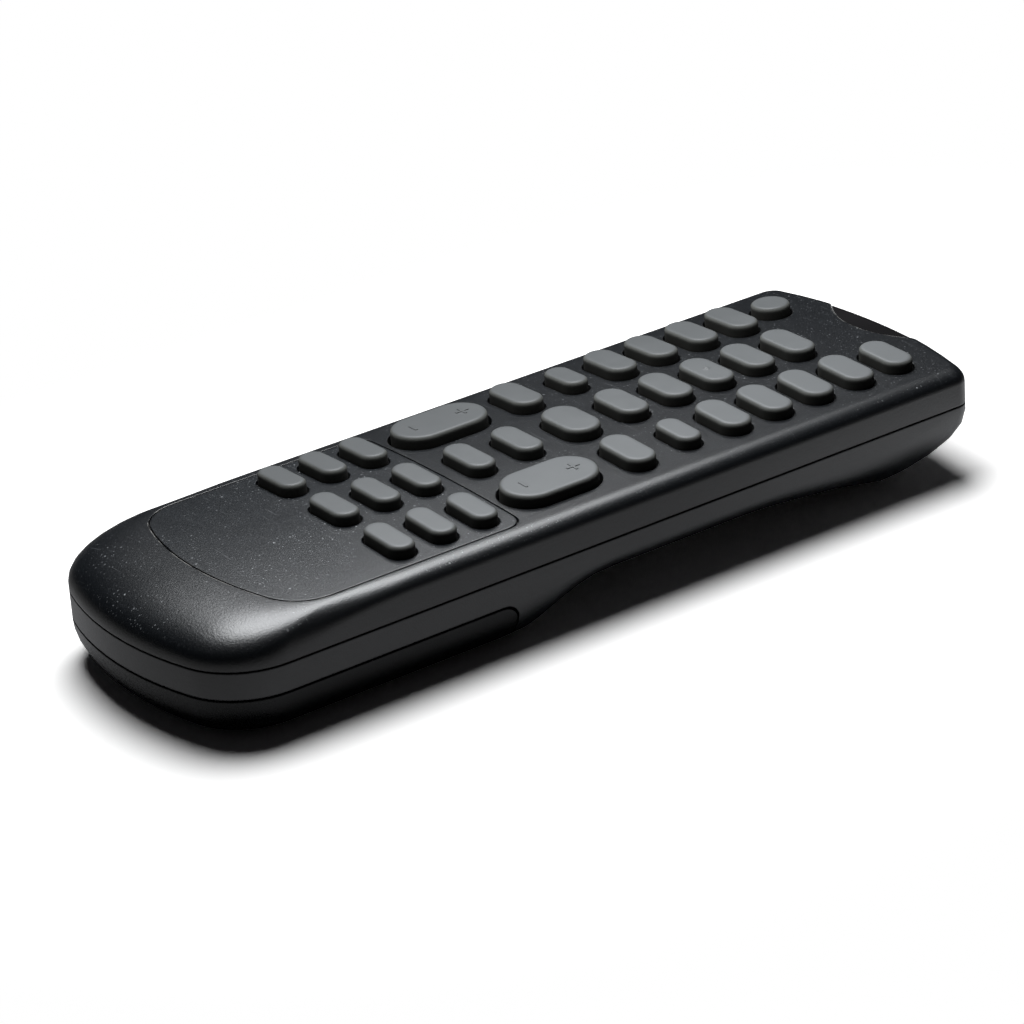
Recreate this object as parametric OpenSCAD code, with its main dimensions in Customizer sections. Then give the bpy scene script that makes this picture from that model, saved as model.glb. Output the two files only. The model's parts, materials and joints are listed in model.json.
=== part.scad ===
// Universal remote control: two-shell casing, rubber keys, two AAA cells.
// Millimetres. X across, Y toward the infrared end, Z up, origin on the ground
// under the middle of the casing.

/* [Casing] */
// Length from tail to infrared end
body_l = 164; // [162:1:172]
// Width over the long sides
body_w = 55.6; // [55.2:0.2:60]
// Height of the flat top face
case_h = 20.9; // [20.7:0.1:22.5]
// Height of the parting line between the shells
part_h = 13.6; // [13.4:0.1:14]
// Wall thickness of both shells
wall = 1.8; // [1.6:0.1:2]
// Thickness of the top wall round the keys
top_wall = 1.6; // [1.4:0.1:1.8]
// Open seam between the shells
seam_gap = 0.3; // [0.2:0.05:0.4]
// Bow radius of the infrared end
front_bow = 110; // [90:1:140]
// Bow radius of the tail
tail_bow = 63; // [60:1:72]
// Radius of the shallow crown across the top face
crown_r = 450; // [400:10:900]
// Corner radius of the tail
tail_corner = 13.5; // [12:0.5:15]
// Corner radius of the infrared end
front_corner = 3; // [2.8:0.1:4]
// Width of the rounding along the top side edges
side_round = 3.4; // [3:0.1:3.6]
// Height of the rounding along the top side edges
side_round_h = 3.2; // [2.8:0.1:3.6]
// Length of the soft slope at the tail
tail_slope = 15; // [14.5:0.25:16]
// Width of the rounding under the side walls
under_round = 8; // [7:0.25:9]
// Rise of the finger arch in the underside
arch_h = 6; // [4:0.25:6.5]

/* [Keys] */
// Distance between key columns
column_pitch = 16; // [15.4:0.1:16.2]
// Distance between digit rows
digit_pitch = 9.24; // [9:0.02:9.4]
// Distance between rows on the panel
panel_pitch = 8.36; // [8.2:0.02:8.5]
// Height of the key tops above the casing
key_rise = 2.1; // [1.6:0.1:2.6]
// Open gap round each push key
key_gap = 0.4; // [0.35:0.05:0.5]
// Stroke of a push key
key_stroke = 0.8; // [0.5:0.1:0.8]
// Rounding of the key top edges
key_round = 0.75; // [0.4:0.05:0.9]
// Digit key length
digit_l = 12; // [11.4:0.1:12.4]
// Digit key width
digit_w = 6.1; // [5.8:0.1:6.4]
// Panel key length
panel_key_l = 11.2; // [10.6:0.1:11.8]
// Panel key width
panel_key_w = 4.9; // [4.6:0.1:5.2]
// Rocker key length along the casing
rocker_l = 18.5; // [18:0.1:19]
// Rocker key width
rocker_w = 10.6; // [10:0.1:11]

/* [Panel] */
// Half width of the key panel
panel_half = 24; // [23.4:0.05:24.2]
// Panel plate thickness
panel_t = 0.8; // [0.6:0.05:0.9]
// Groove round the panel plate
panel_gap = 0.28; // [0.2:0.02:0.4]

/* [Battery bay] */
// Height of the seam over the battery cover
cover_seam_h = 8.7; // [8.5:0.1:9]
// Lap of the battery cover beyond the bay
cover_lap = 3.4; // [3:0.1:4]
// Length of a coil spring between its plate and its cell
spring_l = 4.25; // [3.9:0.05:4.6]
// Open seam round the battery cover
cover_gap = 0.35; // [0.3:0.05:0.45]
// Battery cover thickness
cover_t = 1.6; // [1.4:0.1:1.7]
// Cell diameter
cell_d = 10.5; // [9.8:0.1:10.5]
// Cell length over the can
cell_l = 43.7; // [43:0.1:44]

/* [Hidden] */
$fn = 64;

shell_black = [0.07, 0.07, 0.08];
plate_black = [0.06, 0.06, 0.07];
lens_dark = [0.16, 0.03, 0.05];
key_grey = [0.47, 0.49, 0.5];
mat_grey = [0.4, 0.42, 0.43];
board_green = [0.12, 0.32, 0.2];
copper = [0.72, 0.45, 0.25];
steel = [0.75, 0.76, 0.78];
chip_black = [0.1, 0.1, 0.1];
cell_blue = [0.2, 0.3, 0.42];
clear_violet = [0.3, 0.25, 0.4];
ochre = [0.75, 0.5, 0.15];

half_w = body_w / 2;
half_l = body_l / 2;
ceiling = case_h - top_wall;
eps = 0.02;

// Levels under the top wall: key flange, board and battery roof
flange_gap = 0.4;
flange_t = 0.6;
flange_side = 0.6;
flange_z = ceiling - flange_gap - flange_t;
key_top = case_h + key_rise;
board_t = 1.4;
side_drop = column_pitch * column_pitch / (2 * crown_r);
side_tilt = asin(column_pitch / crown_r);
board_top = flange_z - key_stroke - side_drop - 8 * sin(side_tilt) - 0.3;
board_z = board_top - board_t;
roof_t = 1;
roof_z = board_z - 0.3 - roof_t;
mat_t = 0.6;
mat_z = board_top + 0.1;
lip_h = 1.2;
lip_t = 1.1;
lip_gap = 0.2;
cell_z = cover_t + 0.4 + cell_d / 2;

// Key rows from the infrared end to the tail
first_row = 12.7;
zero_step = 9.82;
select_step = 11;
centre_step = 11.6;
pair_step = 10.1;
panel_step = 11;
row_k = half_l - first_row;
row_j = row_k - digit_pitch;
row_i = row_j - digit_pitch;
row_h = row_i - digit_pitch;
row_g = row_h - digit_pitch;
row_f = row_g - zero_step;
row_e = row_f - select_step;
row_d2 = row_e - centre_step;
row_d1 = row_d2 - pair_step;
row_c = row_d1 - panel_step;
row_b = row_c - panel_pitch;
row_a = row_b - panel_pitch;
row_rocker = (row_d1 + row_d2) / 2;

// Remaining key sizes follow the digit and panel keys
centre_key_l = panel_key_l + 0.5;
centre_key_w = panel_key_w + 0.4;
side_key_l = digit_l;
side_key_w = digit_w;
select_l = digit_l + 0.4;
select_w = digit_w + 1.2;
small_l = digit_l - 2.3;
small_w = digit_w - 1.2;
zero_l = digit_l;
zero_w = digit_w;
power_d = digit_w + 1.1;
source_l = digit_l - 0.6;
source_w = digit_w - 0.2;
rocker_gap = key_gap + 0.25;
rocker_tilt = 3;

// Panel outline
panel_top_y = row_c + 5.3;
panel_tail_y = -half_l + tail_slope + 0.6;
panel_corner = 9;
panel_top_corner = 3;
panel_bow = tail_bow - 9;
panel_floor = panel_t + 0.05;

// Infrared window in the front edge
lens_r = 17.7;
lens_y = half_l + 11.3;
lens_drop = 0.4;
lens_t = 1.4;
lens_gap = 0.12;

// Battery bay: from the tail inward a plate with a nub, a cell with its cap, a spring and its plate
plate_t = 0.4;
nub = 0.9;
cap_t = 0.8;
plate_gap = 0.1;
cap_gap = 0.05;
bay_end = 6.8;
bay_tail_y = -half_l + bay_end;
cell_tail_y = bay_tail_y + plate_gap + plate_t + nub + cap_t + cap_gap;
cell_front_y = cell_tail_y + cell_l;
bay_front_y = cell_front_y + plate_gap + spring_l + plate_t + plate_gap;
cover_front_y = bay_front_y + cover_lap;
bay_half = cell_d + 1.6;
bay_wall = 1.2;
cell_x = cell_d / 2 + 0.6;
bay_mid_y = (bay_tail_y + bay_front_y) / 2;
boss_r = 2.7;
screw_r = 1.3;
screw_head_r = 2.4;
screw_head_t = 1.5;
boss_gap = 1.7;
boss_x = bay_half + bay_wall + screw_head_r + boss_gap;
boss_y = -half_l + 30;

// Ledges on the bay walls and the cover hooks that run over them, all below the cover seam
slide_gap = 0.4;
ledge_w = 2;
ledge_t = 1;
ledge_l = 37;
ledge_y = bay_front_y - ledge_l - 0.6;
ledge_z = cover_seam_h - 3.2;
hook_t = 0.9;
rail_t = 1.2;
rail_x = bay_half + bay_wall + ledge_w + slide_gap;
rail_l = 33;
rail_y = bay_front_y - rail_l - 0.6;
hook_z = ledge_z + ledge_t + slide_gap;

// Samples of one half of an outline: bow, corner, side, corner, bow
n_bow = 5;
n_front = 5;
n_side = 24;
n_tail = 10;
n_row = 6;
n_half = 2 * n_bow + n_front + n_side + n_tail;
n_ring = 2 * n_half;

function mix(a, b, t) = a + (b - a) * t;
function clamp01(t) = min(1, max(0, t));
function smooth(t) = let (c = clamp01(t)) c * c * (3 - 2 * c);

// Right half of an outline with bowed ends and round corners, front to tail
function half_outline(hw, yf, yt, rf, rt, bf, bt) =
  let (cf = yf - bf + sqrt(pow(bf - rf, 2) - pow(hw - rf, 2)))
  let (ct = yt + bt - sqrt(pow(bt - rt, 2) - pow(hw - rt, 2)))
  let (af = atan2(cf - yf + bf, hw - rf))
  let (at = atan2(ct - yt - bt, hw - rt))
  concat(
    [for (i = [0:n_bow - 1]) let (a = mix(90, af, i / n_bow)) [bf * cos(a), yf - bf + bf * sin(a)]],
    [for (i = [0:n_front - 1]) let (a = mix(af, 0, i / n_front)) [hw - rf + rf * cos(a), cf + rf * sin(a)]],
    [for (i = [0:n_side - 1]) [hw, mix(cf, ct, i / n_side)]],
    [for (i = [0:n_tail - 1]) let (a = mix(0, at, i / n_tail)) [hw - rt + rt * cos(a), ct + rt * sin(a)]],
    [for (i = [0:n_bow - 1]) let (a = mix(at, -90, i / n_bow)) [bt * cos(a), yt + bt + bt * sin(a)]],
    [[0, yt]]);

function full_outline(h) = concat(
  [for (i = [0:n_half]) i == 0 ? [0, h[0][1]] : h[i]],
  [for (i = [n_half - 1:-1:1]) [-h[i][0], h[i][1]]]);

// Casing outline at the parting line, moved inward by d
function casing_outline(d) = full_outline(half_outline(half_w - d, half_l - d, -half_l + d,
  front_corner - min(d, front_corner - 0.8), tail_corner - d, front_bow - d, tail_bow - d));

// Edge of the flat top face, moved inward by d
function top_outline(d) = full_outline(half_outline(half_w - side_round - d, half_l - 2.1 - d,
  -half_l + tail_slope + d, front_corner - 1, tail_corner - 2 - d, front_bow - 2.1 - d, tail_bow - 4 - d));

// Edge of the flat underside
function under_outline(d) = full_outline(half_outline(half_w - under_round - d, half_l - under_front - d,
  -half_l + under_round - 1 + d, half_w - under_round - d - 0.7, tail_corner - 3, 60, tail_bow - 7 - d));

function panel_outline(d) = full_outline(half_outline(panel_half - d, panel_top_y - d, panel_tail_y + d,
  panel_top_corner, panel_corner - d, 4000, panel_bow - d));

// Height of the underside: flat cover, finger arch, front rest
arch_up_y = cover_front_y + 0.6;
under_front = 20;
function under_z(y) = y < arch_up_y ? 0 :
  y < arch_up_y + 18 ? arch_h * smooth((y - arch_up_y) / 18) :
  y < half_l - 54 ? arch_h :
  y < half_l - under_front ? arch_h * (1 - pow((y - half_l + 54) / (54 - under_front), 1.8)) : 0;

function ring_faces(n, m) = [for (j = [0:m - 2]) for (i = [0:n - 1])
  each [[j * n + i, j * n + (i + 1) % n, (j + 1) * n + (i + 1) % n],
        [j * n + i, (j + 1) * n + (i + 1) % n, (j + 1) * n + i]]];

// Height of the crowned top at x
function crown(x, top) = top - x * x / (2 * crown_r);

// Upper shell form: wall ring, quarter curves that widen toward the tail, crowned top in rows
module upper_form(d, top, base, lean, steps) {
  o = casing_outline(d);
  t = top_outline(d * 0.4);
  z0 = [for (p = o) mix(top - side_round_h + d * 0.3, lean, smooth((-half_l + 37 - p[1]) / 27))];
  rings = concat(
    [for (i = [0:n_ring - 1]) [o[i][0], o[i][1], base]],
    [for (k = [0:steps]) for (i = [0:n_ring - 1])
      let (a = 87 * k / steps)
      let (x = mix(t[i][0], o[i][0], cos(a)))
      [x, mix(t[i][1], o[i][1], cos(a)), mix(z0[i], crown(t[i][0], top), sin(a))]]);
  m = steps + 2;
  last = (m - 1) * n_ring;
  inner = [for (i = [1:n_half - 1]) for (k = [1:n_row - 1])
    let (q = rings[last + i])
    let (x = q[0] * (1 - 2 * k / n_row))
    [x, q[1], max(q[2], crown(x, top))]];
  function row_at(i, k) = k == 0 ? last + i :
    k == n_row ? last + n_ring - i :
    m * n_ring + (i - 1) * (n_row - 1) + k - 1;
  polyhedron(concat(rings, inner), concat(ring_faces(n_ring, m),
    [[for (i = [n_ring - 1:-1:0]) i]],
    [for (k = [0:n_row - 1]) [last, row_at(1, k), row_at(1, k + 1)]],
    [for (i = [1:n_half - 2]) for (k = [0:n_row - 1])
      each [[row_at(i, k), row_at(i + 1, k), row_at(i + 1, k + 1)],
            [row_at(i, k), row_at(i + 1, k + 1), row_at(i, k + 1)]]],
    [for (k = [0:n_row - 1]) [last + n_half, row_at(n_half - 1, k + 1), row_at(n_half - 1, k)]]));
}

// Solid below the crowned face, lowered by g
module crown_block(g) {
  translate([0, 0, case_h - crown_r]) rotate([90, 0, 0])
    cylinder(r = crown_r - g, h = body_l + 20, center = true, $fn = 720);
}

// Lower shell form: quarter curves from the underside up to a plain wall, leaner toward the front
module lower_form(d, lift, top, steps) {
  o = casing_outline(d);
  u = under_outline(d * 0.3);
  bow = [for (p = o) smooth((p[1] - half_l + 34) / 26)];
  low = [for (k = [0:steps]) for (i = [0:n_ring - 1])
    let (a = 90 - 90 * k / steps)
    let (c = pow(cos(a), 1 + 0.35 * bow[i]))
    let (s0 = mix(0.4, 0.1, bow[i]))
    let (y = mix(u[i][1], o[i][1], c))
    let (z = under_z(y) + lift)
    [mix(u[i][0], o[i][0], c), y, part_h - (part_h - z) * (s0 + (1 - s0) * sin(a))]];
  rings = concat(low, [for (i = [0:n_ring - 1]) [o[i][0], o[i][1], top]]);
  m = steps + 2;
  flat = min([for (i = [0:n_half]) if (u[i][1] < arch_up_y) i]);
  polyhedron(rings, concat(ring_faces(n_ring, m),
    [[1, 0, n_ring - 1]],
    [for (i = [1:flat - 1]) each [[n_ring - i, n_ring - i - 1, i + 1], [n_ring - i, i + 1, i]]],
    [concat([for (i = [n_half:-1:flat]) i], [for (i = [n_ring - flat:-1:n_half + 1]) i])],
    [[for (i = [0:n_ring - 1]) (m - 1) * n_ring + i]]));
}

module stadium(l, w) {
  if (l > w) {
    square([l - w, w], center = true);
    translate([(l - w) / 2, 0]) circle(d = w);
    translate([(w - l) / 2, 0]) circle(d = w);
  } else {
    circle(d = w);
  }
}

PANEL_KEYS = [for (y = [row_a, row_b, row_c]) for (c = [-1, 0, 1])
  [c * column_pitch, y, panel_key_l, panel_key_w]];
OTHER_KEYS = concat(
  [for (y = [row_d1, row_d2]) [0, y, centre_key_l, centre_key_w]],
  [for (c = [-1, 1]) [c * column_pitch, row_e, side_key_l, side_key_w]],
  [[0, row_e, select_l, select_w]],
  [for (c = [-1, 1]) [c * column_pitch, row_f, small_l, small_w]],
  [[0, row_f, zero_l, zero_w]],
  [for (y = [row_g, row_h, row_i, row_j]) for (c = [-1, 0, 1]) [c * column_pitch, y, digit_l, digit_w]],
  [[-column_pitch, row_k, power_d, power_d]],
  [[column_pitch, row_k, source_l, source_w]]);

module key_shapes(keys, grow) {
  for (k = keys) translate([k[0], k[1]]) stadium(k[2] + 2 * grow, k[3] + 2 * grow);
}

module rocker_shapes(grow_x, grow_y) {
  for (c = [-1, 1]) translate([c * column_pitch, row_rocker]) rotate(90)
    stadium(rocker_l + 2 * grow_y, rocker_w + 2 * grow_x);
}

// Region of the battery cover seen from the side, with a round upper front corner
module cover_region(g) {
  rotate([90, 0, 90]) linear_extrude(body_w + 4, center = true) union() {
    translate([-half_l - 5, -5]) square([half_l + 5 + cover_front_y + g - 3, 5 + cover_seam_h + g]);
    translate([cover_front_y + g - 3 - eps, -5]) square([3 + eps, 5 + cover_seam_h + g - 3]);
    translate([cover_front_y + g - 3, cover_seam_h + g - 3]) circle(3);
  }
}

module lens_column(r, z, h) {
  translate([0, lens_y, z]) cylinder(r = r, h = h, $fn = 180);
}

module upper_casing() {
  color(shell_black) difference() {
    union() {
      difference() {
        upper_form(0, case_h, part_h + seam_gap / 2, part_h + seam_gap / 2 + 0.8, 8);
        upper_form(wall, ceiling, part_h - 2, part_h + lip_h + 0.2, 5);
      }
      for (c = [-1, 1]) translate([c * boss_x, boss_y, roof_z + roof_t + 0.1])
        cylinder(r = boss_r, h = ceiling - roof_z - roof_t + 0.3);
    }
    translate([0, 0, ceiling - 2]) linear_extrude(top_wall + 4) union() {
      key_shapes(PANEL_KEYS, key_gap);
      key_shapes(OTHER_KEYS, key_gap);
      rocker_shapes(key_gap, rocker_gap);
    }
    difference() {
      translate([0, 0, case_h - 3]) linear_extrude(5) polygon(panel_outline(0));
      crown_block(panel_floor);
    }
    lens_column(lens_r, part_h - 3, 12);
    for (c = [-1, 1]) translate([c * boss_x, boss_y, roof_z])
      cylinder(r = screw_r + 0.05, h = ceiling - roof_z - 0.9);
  }
}

module panel_plate() {
  color(plate_black) difference() {
    intersection() {
      translate([0, 0, case_h - 3]) linear_extrude(5) polygon(panel_outline(panel_gap));
      crown_block(0);
    }
    crown_block(panel_t);
    translate([0, 0, case_h - 4]) linear_extrude(6) key_shapes(PANEL_KEYS, key_gap);
  }
}

// Window swept about the centre of the front bow: a rounded edge with a skin of even thickness
module lens_profile(g) {
  r = 2.2 - g;
  out = front_bow - 0.2 - g;
  top = case_h - lens_drop - g;
  translate([0, part_h - 1]) square([out - r, top - part_h + 1]);
  translate([0, part_h - 1]) square([out, top - r - part_h + 1]);
  translate([out - r, top - r]) circle(r);
}

module infrared_lens() {
  color(lens_dark) intersection() {
    translate([0, half_l - front_bow, 0]) rotate_extrude($fn = 360) difference() {
      lens_profile(0);
      lens_profile(lens_t);
      square([front_bow + 5, part_h + seam_gap / 2]);
      square([front_bow - 12, case_h + 5]);
    }
    lens_column(lens_r - lens_gap, part_h - 3, 12);
  }
}

module side_ledges() {
  for (c = [0, 1]) mirror([c, 0, 0]) translate([bay_half + bay_wall - eps, ledge_y, ledge_z])
    cube([ledge_w + eps, ledge_l, ledge_t]);
}

module bay_walls() {
  z = cover_t + 0.5;
  h = roof_z - z + eps;
  for (c = [-1, 1]) translate([c * (bay_half + bay_wall / 2) - bay_wall / 2, bay_tail_y - bay_wall, z])
    cube([bay_wall, bay_front_y - bay_tail_y + 2 * bay_wall, h]);
  translate([-bay_half, bay_tail_y - bay_wall, z]) cube([2 * bay_half, bay_wall, h]);
  translate([-bay_half, bay_front_y, z]) cube([2 * bay_half, bay_wall, h]);
  translate([-0.4, bay_tail_y + 9, roof_z - 3]) cube([0.8, bay_front_y - bay_tail_y - 18, 3 + eps]);
}

module lower_casing() {
  color(shell_black) difference() {
    union() {
      difference() {
        lower_form(0, 0, part_h - seam_gap / 2, 8);
        lower_form(wall, wall, part_h + 2, 5);
        cover_region(0);
      }
      difference() {
        translate([0, 0, part_h - 2.4]) linear_extrude(2.4 + lip_h) difference() {
          polygon(casing_outline(wall - 0.1));
          polygon(casing_outline(wall + lip_t));
        }
        translate([0, 0, part_h - 3]) linear_extrude(3 - seam_gap / 2) difference() {
          polygon(casing_outline(-1));
          polygon(casing_outline(wall));
        }
        translate([0, 0, part_h - seam_gap / 2]) linear_extrude(3) difference() {
          polygon(casing_outline(-1));
          polygon(casing_outline(wall + lip_gap));
        }
        lens_column(lens_r + 2, part_h - seam_gap / 2, 9);
      }
      intersection() {
        lower_form(wall - 0.1, wall - 0.1, part_h + 3, 3);
        union() {
          intersection() {
            union() {
              translate([-half_w, -half_l, roof_z]) cube([body_w, half_l + cover_front_y + 1.6, roof_t]);
              translate([-half_w, cover_front_y + cover_gap, 0]) cube([body_w, 1.4, roof_z + roof_t]);
            }
            linear_extrude(part_h + 3) polygon(casing_outline(wall + lip_gap + 0.1));
          }
          translate([-half_w, cover_front_y + cover_gap, 0]) cube([body_w, 1.4, part_h - seam_gap / 2]);
          side_ledges();
          intersection() {
            bay_walls();
            lower_form(wall + 0.6, cover_t + 0.5, part_h + 3, 5);
          }
          for (c = [-1, 1]) for (y = [row_g - 4.9, row_e + 5.5])
            translate([c * (half_w - 5.4), y, 0]) cylinder(r = 1.6, h = board_z - 0.05);
          for (y = [row_h + 4.5, row_d2 + 6])
            translate([-half_w, y, 0]) cube([body_w, 1, part_h - 3.4]);
        }
      }
    }
    for (c = [-1, 1]) translate([c * boss_x, boss_y, roof_z - 2]) cylinder(r = screw_r + 0.25, h = 6);
    for (c = [-1, 1]) translate([c * cell_x, bay_mid_y, cell_z]) rotate([90, 0, 0])
      cylinder(d = cell_d + 0.6, h = bay_front_y - bay_tail_y - 0.2, center = true);
    for (y = [bay_tail_y, bay_front_y - 0.7])
      translate([-bay_half + 0.4, y, cover_t + 0.3]) cube([2 * bay_half - 0.8, 0.7, roof_z - cover_t - 0.7]);
  }
}

module battery_cover() {
  color(shell_black) difference() {
    union() {
      intersection() {
        difference() {
          lower_form(0, 0, part_h, 8);
          lower_form(wall, cover_t, part_h + 2, 5);
        }
        cover_region(-cover_gap);
      }
      intersection() {
        lower_form(wall - 0.1, cover_t - 0.1, part_h, 3);
        union() {
          for (c = [0, 1]) mirror([c, 0, 0]) translate([rail_x, rail_y, 0])
            cube([rail_t, rail_l, hook_z + hook_t]);
          for (c = [0, 1]) mirror([c, 0, 0]) translate([rail_x - ledge_w, rail_y, hook_z])
            cube([ledge_w + rail_t, rail_l, hook_t]);
        }
      }
    }
    for (i = [0:4]) translate([-9, cover_front_y - 9 - 2.2 * i, -1]) cube([18, 1.1, 1.4]);
  }
}

board_side = 3.3;
board_front = 4.6;
board_tail = 5;
led_slot = 8;
led_slot_l = 3.5;
module circuit_board() {
  color(board_green) translate([0, 0, board_z]) linear_extrude(board_t) difference() {
    translate([-half_w + board_side, row_a - board_tail])
      square([body_w - 2 * board_side, row_k + board_front - row_a + board_tail]);
    translate([-led_slot / 2, row_k - led_slot_l]) square([led_slot, led_slot_l + board_front + 1]);
  }
}

mat_side = 3.9;
mat_front = 5.8;
mat_tail = 4.8;
mat_gap = 0.4;
module keypad_mat() {
  color(mat_grey) translate([0, 0, mat_z]) linear_extrude(mat_t) difference() {
    translate([-half_w + mat_side, row_a - mat_tail])
      square([body_w - 2 * mat_side, row_k + mat_front - row_a + mat_tail]);
    key_shapes(PANEL_KEYS, flange_side + mat_gap);
    key_shapes(OTHER_KEYS, flange_side + mat_gap);
    rocker_shapes(flange_side + mat_gap + 0.2, rocker_gap);
    translate([-led_slot / 2 - mat_gap, row_k - led_slot_l - 0.3])
      square([led_slot + 2 * mat_gap, led_slot_l + mat_front + 1]);
  }
}

module contact_pads() {
  color(copper) translate([0, 0, board_top]) linear_extrude(0.08) {
    for (k = PANEL_KEYS) translate([k[0], k[1]]) circle(2);
    for (k = OTHER_KEYS) translate([k[0], k[1]]) circle(2);
    for (c = [-1, 1]) for (e = [-1, 1]) translate([c * column_pitch, row_rocker + e * 6]) circle(2);
  }
}

// Rounded upper outline of a key, from its axis outward
module key_half(w, h) {
  r = key_round;
  square([w / 2, h - r]);
  square([w / 2 - r, h]);
  translate([w / 2 - r, h - r]) circle(r);
}

module key_block(l, w, h) {
  if (l > w) {
    rotate([90, 0, 90]) linear_extrude(l - w, center = true) union() {
      key_half(w, h);
      mirror([1, 0]) key_half(w, h);
    }
    translate([(l - w) / 2, 0, 0]) rotate_extrude() key_half(w, h);
    translate([(w - l) / 2, 0, 0]) rotate_extrude() key_half(w, h);
  } else {
    rotate_extrude() key_half(w, h);
  }
}

module on_crown(x, y) {
  translate([x, y, case_h - x * x / (2 * crown_r)]) rotate([0, asin(x / crown_r), 0])
    translate([0, 0, flange_z - case_h]) children();
}

module push_key(x, y, l, w) {
  color(key_grey) on_crown(x, y) union() {
    key_block(l, w, key_top - flange_z);
    linear_extrude(flange_t) stadium(l + 2 * flange_side, w + 2 * flange_side);
  }
}

// Rocker with a half-round bead underneath and raised plus and minus bars
module rocker_key(x) {
  mark = 0.12;
  color(key_grey) on_crown(x, row_rocker) union() {
    translate([0, 0, 0.2]) rotate(90) key_block(rocker_l, rocker_w, key_top - flange_z - 0.2);
    translate([0, 0, 0.5]) cube([rocker_w + 2 * flange_side, 6, 0.6], center = true);
    rotate([0, 90, 0]) cylinder(r = 0.8, h = rocker_w - 3, center = true);
    translate([-1.3, 5 - 0.22, key_top - flange_z - 0.2]) cube([2.6, 0.44, 0.2 + mark]);
    translate([-0.22, 5 - 1.3, key_top - flange_z - 0.2]) cube([0.44, 2.6, 0.2 + mark]);
    translate([-1.1, -5.4 - 0.22, key_top - flange_z - 0.2]) cube([2.2, 0.44, 0.2 + mark]);
  }
}

module panel_key_1() {
  push_key(-column_pitch, row_c, panel_key_l, panel_key_w);
}
module panel_key_2() {
  push_key(0, row_c, panel_key_l, panel_key_w);
}
module panel_key_3() {
  push_key(column_pitch, row_c, panel_key_l, panel_key_w);
}
module panel_key_4() {
  push_key(-column_pitch, row_b, panel_key_l, panel_key_w);
}
module panel_key_5() {
  push_key(0, row_b, panel_key_l, panel_key_w);
}
module panel_key_6() {
  push_key(column_pitch, row_b, panel_key_l, panel_key_w);
}
module panel_key_7() {
  push_key(-column_pitch, row_a, panel_key_l, panel_key_w);
}
module panel_key_8() {
  push_key(0, row_a, panel_key_l, panel_key_w);
}
module panel_key_9() {
  push_key(column_pitch, row_a, panel_key_l, panel_key_w);
}
module centre_key_near() {
  push_key(0, row_d1, centre_key_l, centre_key_w);
}
module centre_key_far() {
  push_key(0, row_d2, centre_key_l, centre_key_w);
}
module rocker_left() {
  rocker_key(-column_pitch);
}
module rocker_right() {
  rocker_key(column_pitch);
}
module side_key_left() {
  push_key(-column_pitch, row_e, side_key_l, side_key_w);
}
module select_key() {
  push_key(0, row_e, select_l, select_w);
}
module side_key_right() {
  push_key(column_pitch, row_e, side_key_l, side_key_w);
}
module small_key_left() {
  push_key(-column_pitch, row_f, small_l, small_w);
}
module zero_key() {
  push_key(0, row_f, zero_l, zero_w);
}
module small_key_right() {
  push_key(column_pitch, row_f, small_l, small_w);
}
module digit_key_1() {
  push_key(-column_pitch, row_i, digit_l, digit_w);
}
module digit_key_2() {
  push_key(0, row_i, digit_l, digit_w);
}
module digit_key_3() {
  push_key(column_pitch, row_i, digit_l, digit_w);
}
module digit_key_4() {
  push_key(-column_pitch, row_h, digit_l, digit_w);
}
// The middle digit key carries a raised dot that fingers can find
module digit_key_5() {
  push_key(0, row_h, digit_l, digit_w);
  color(key_grey) translate([0, row_h, key_top - 0.45]) sphere(0.75);
}
module digit_key_6() {
  push_key(column_pitch, row_h, digit_l, digit_w);
}
module digit_key_7() {
  push_key(-column_pitch, row_g, digit_l, digit_w);
}
module digit_key_8() {
  push_key(0, row_g, digit_l, digit_w);
}
module digit_key_9() {
  push_key(column_pitch, row_g, digit_l, digit_w);
}
module mode_key_left() {
  push_key(-column_pitch, row_j, digit_l, digit_w);
}
module mode_key_mid() {
  push_key(0, row_j, digit_l, digit_w);
}
module mode_key_right() {
  push_key(column_pitch, row_j, digit_l, digit_w);
}
module power_key() {
  push_key(-column_pitch, row_k, power_d, power_d);
}
module source_key() {
  push_key(column_pitch, row_k, source_l, source_w);
}

led_z = board_z + board_t / 2;
led_y = row_k - 2;
led_r = 2.4;
module infrared_led() {
  color(clear_violet) translate([0, led_y, led_z]) rotate([-90, 0, 0]) union() {
    cylinder(r = led_r + 0.35, h = 1);
    cylinder(r = led_r, h = 5.6);
    translate([0, 0, 5.6]) sphere(led_r);
  }
}

module led_legs() {
  color(steel) for (c = [-1, 1]) translate([c * 1.27, 0, board_z - 0.3]) union() {
    translate([0, led_y - 0.75, led_z - board_z + 0.3]) cube([0.5, 1.4, 0.5], center = true);
    translate([-0.25, led_y - 1, -0.25]) cube([0.5, 0.5, led_z - board_z + 0.8]);
    translate([-0.25, led_y - 5, -0.25]) cube([0.5, 4.5, 0.5]);
  }
}

chip_y = row_h + 12;
module control_chip() {
  color(chip_black) translate([-5, chip_y - 7, board_z - 2.2]) cube([10, 14, 1.9]);
}

module chip_legs() {
  color(steel) for (c = [-1, 1]) for (i = [0:7]) translate([c * 5.95, chip_y - 6.1 + 1.6 * i, 0]) union() {
    translate([-0.75, 0, board_z - 0.3]) cube([1.5, 0.6, 0.25]);
    translate([-0.75 * c - 0.15, 0, board_z - 1.4]) cube([0.3, 0.6, 1.2]);
  }
}

module resonator() {
  color(ochre) translate([-13, chip_y - 2, board_z - 4.6]) union() {
    cube([2.4, 6, 4.2]);
    translate([1, 1, 4.1]) cube([0.5, 0.5, 0.5]);
    translate([1, 4.5, 4.1]) cube([0.5, 0.5, 0.5]);
  }
}

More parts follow.
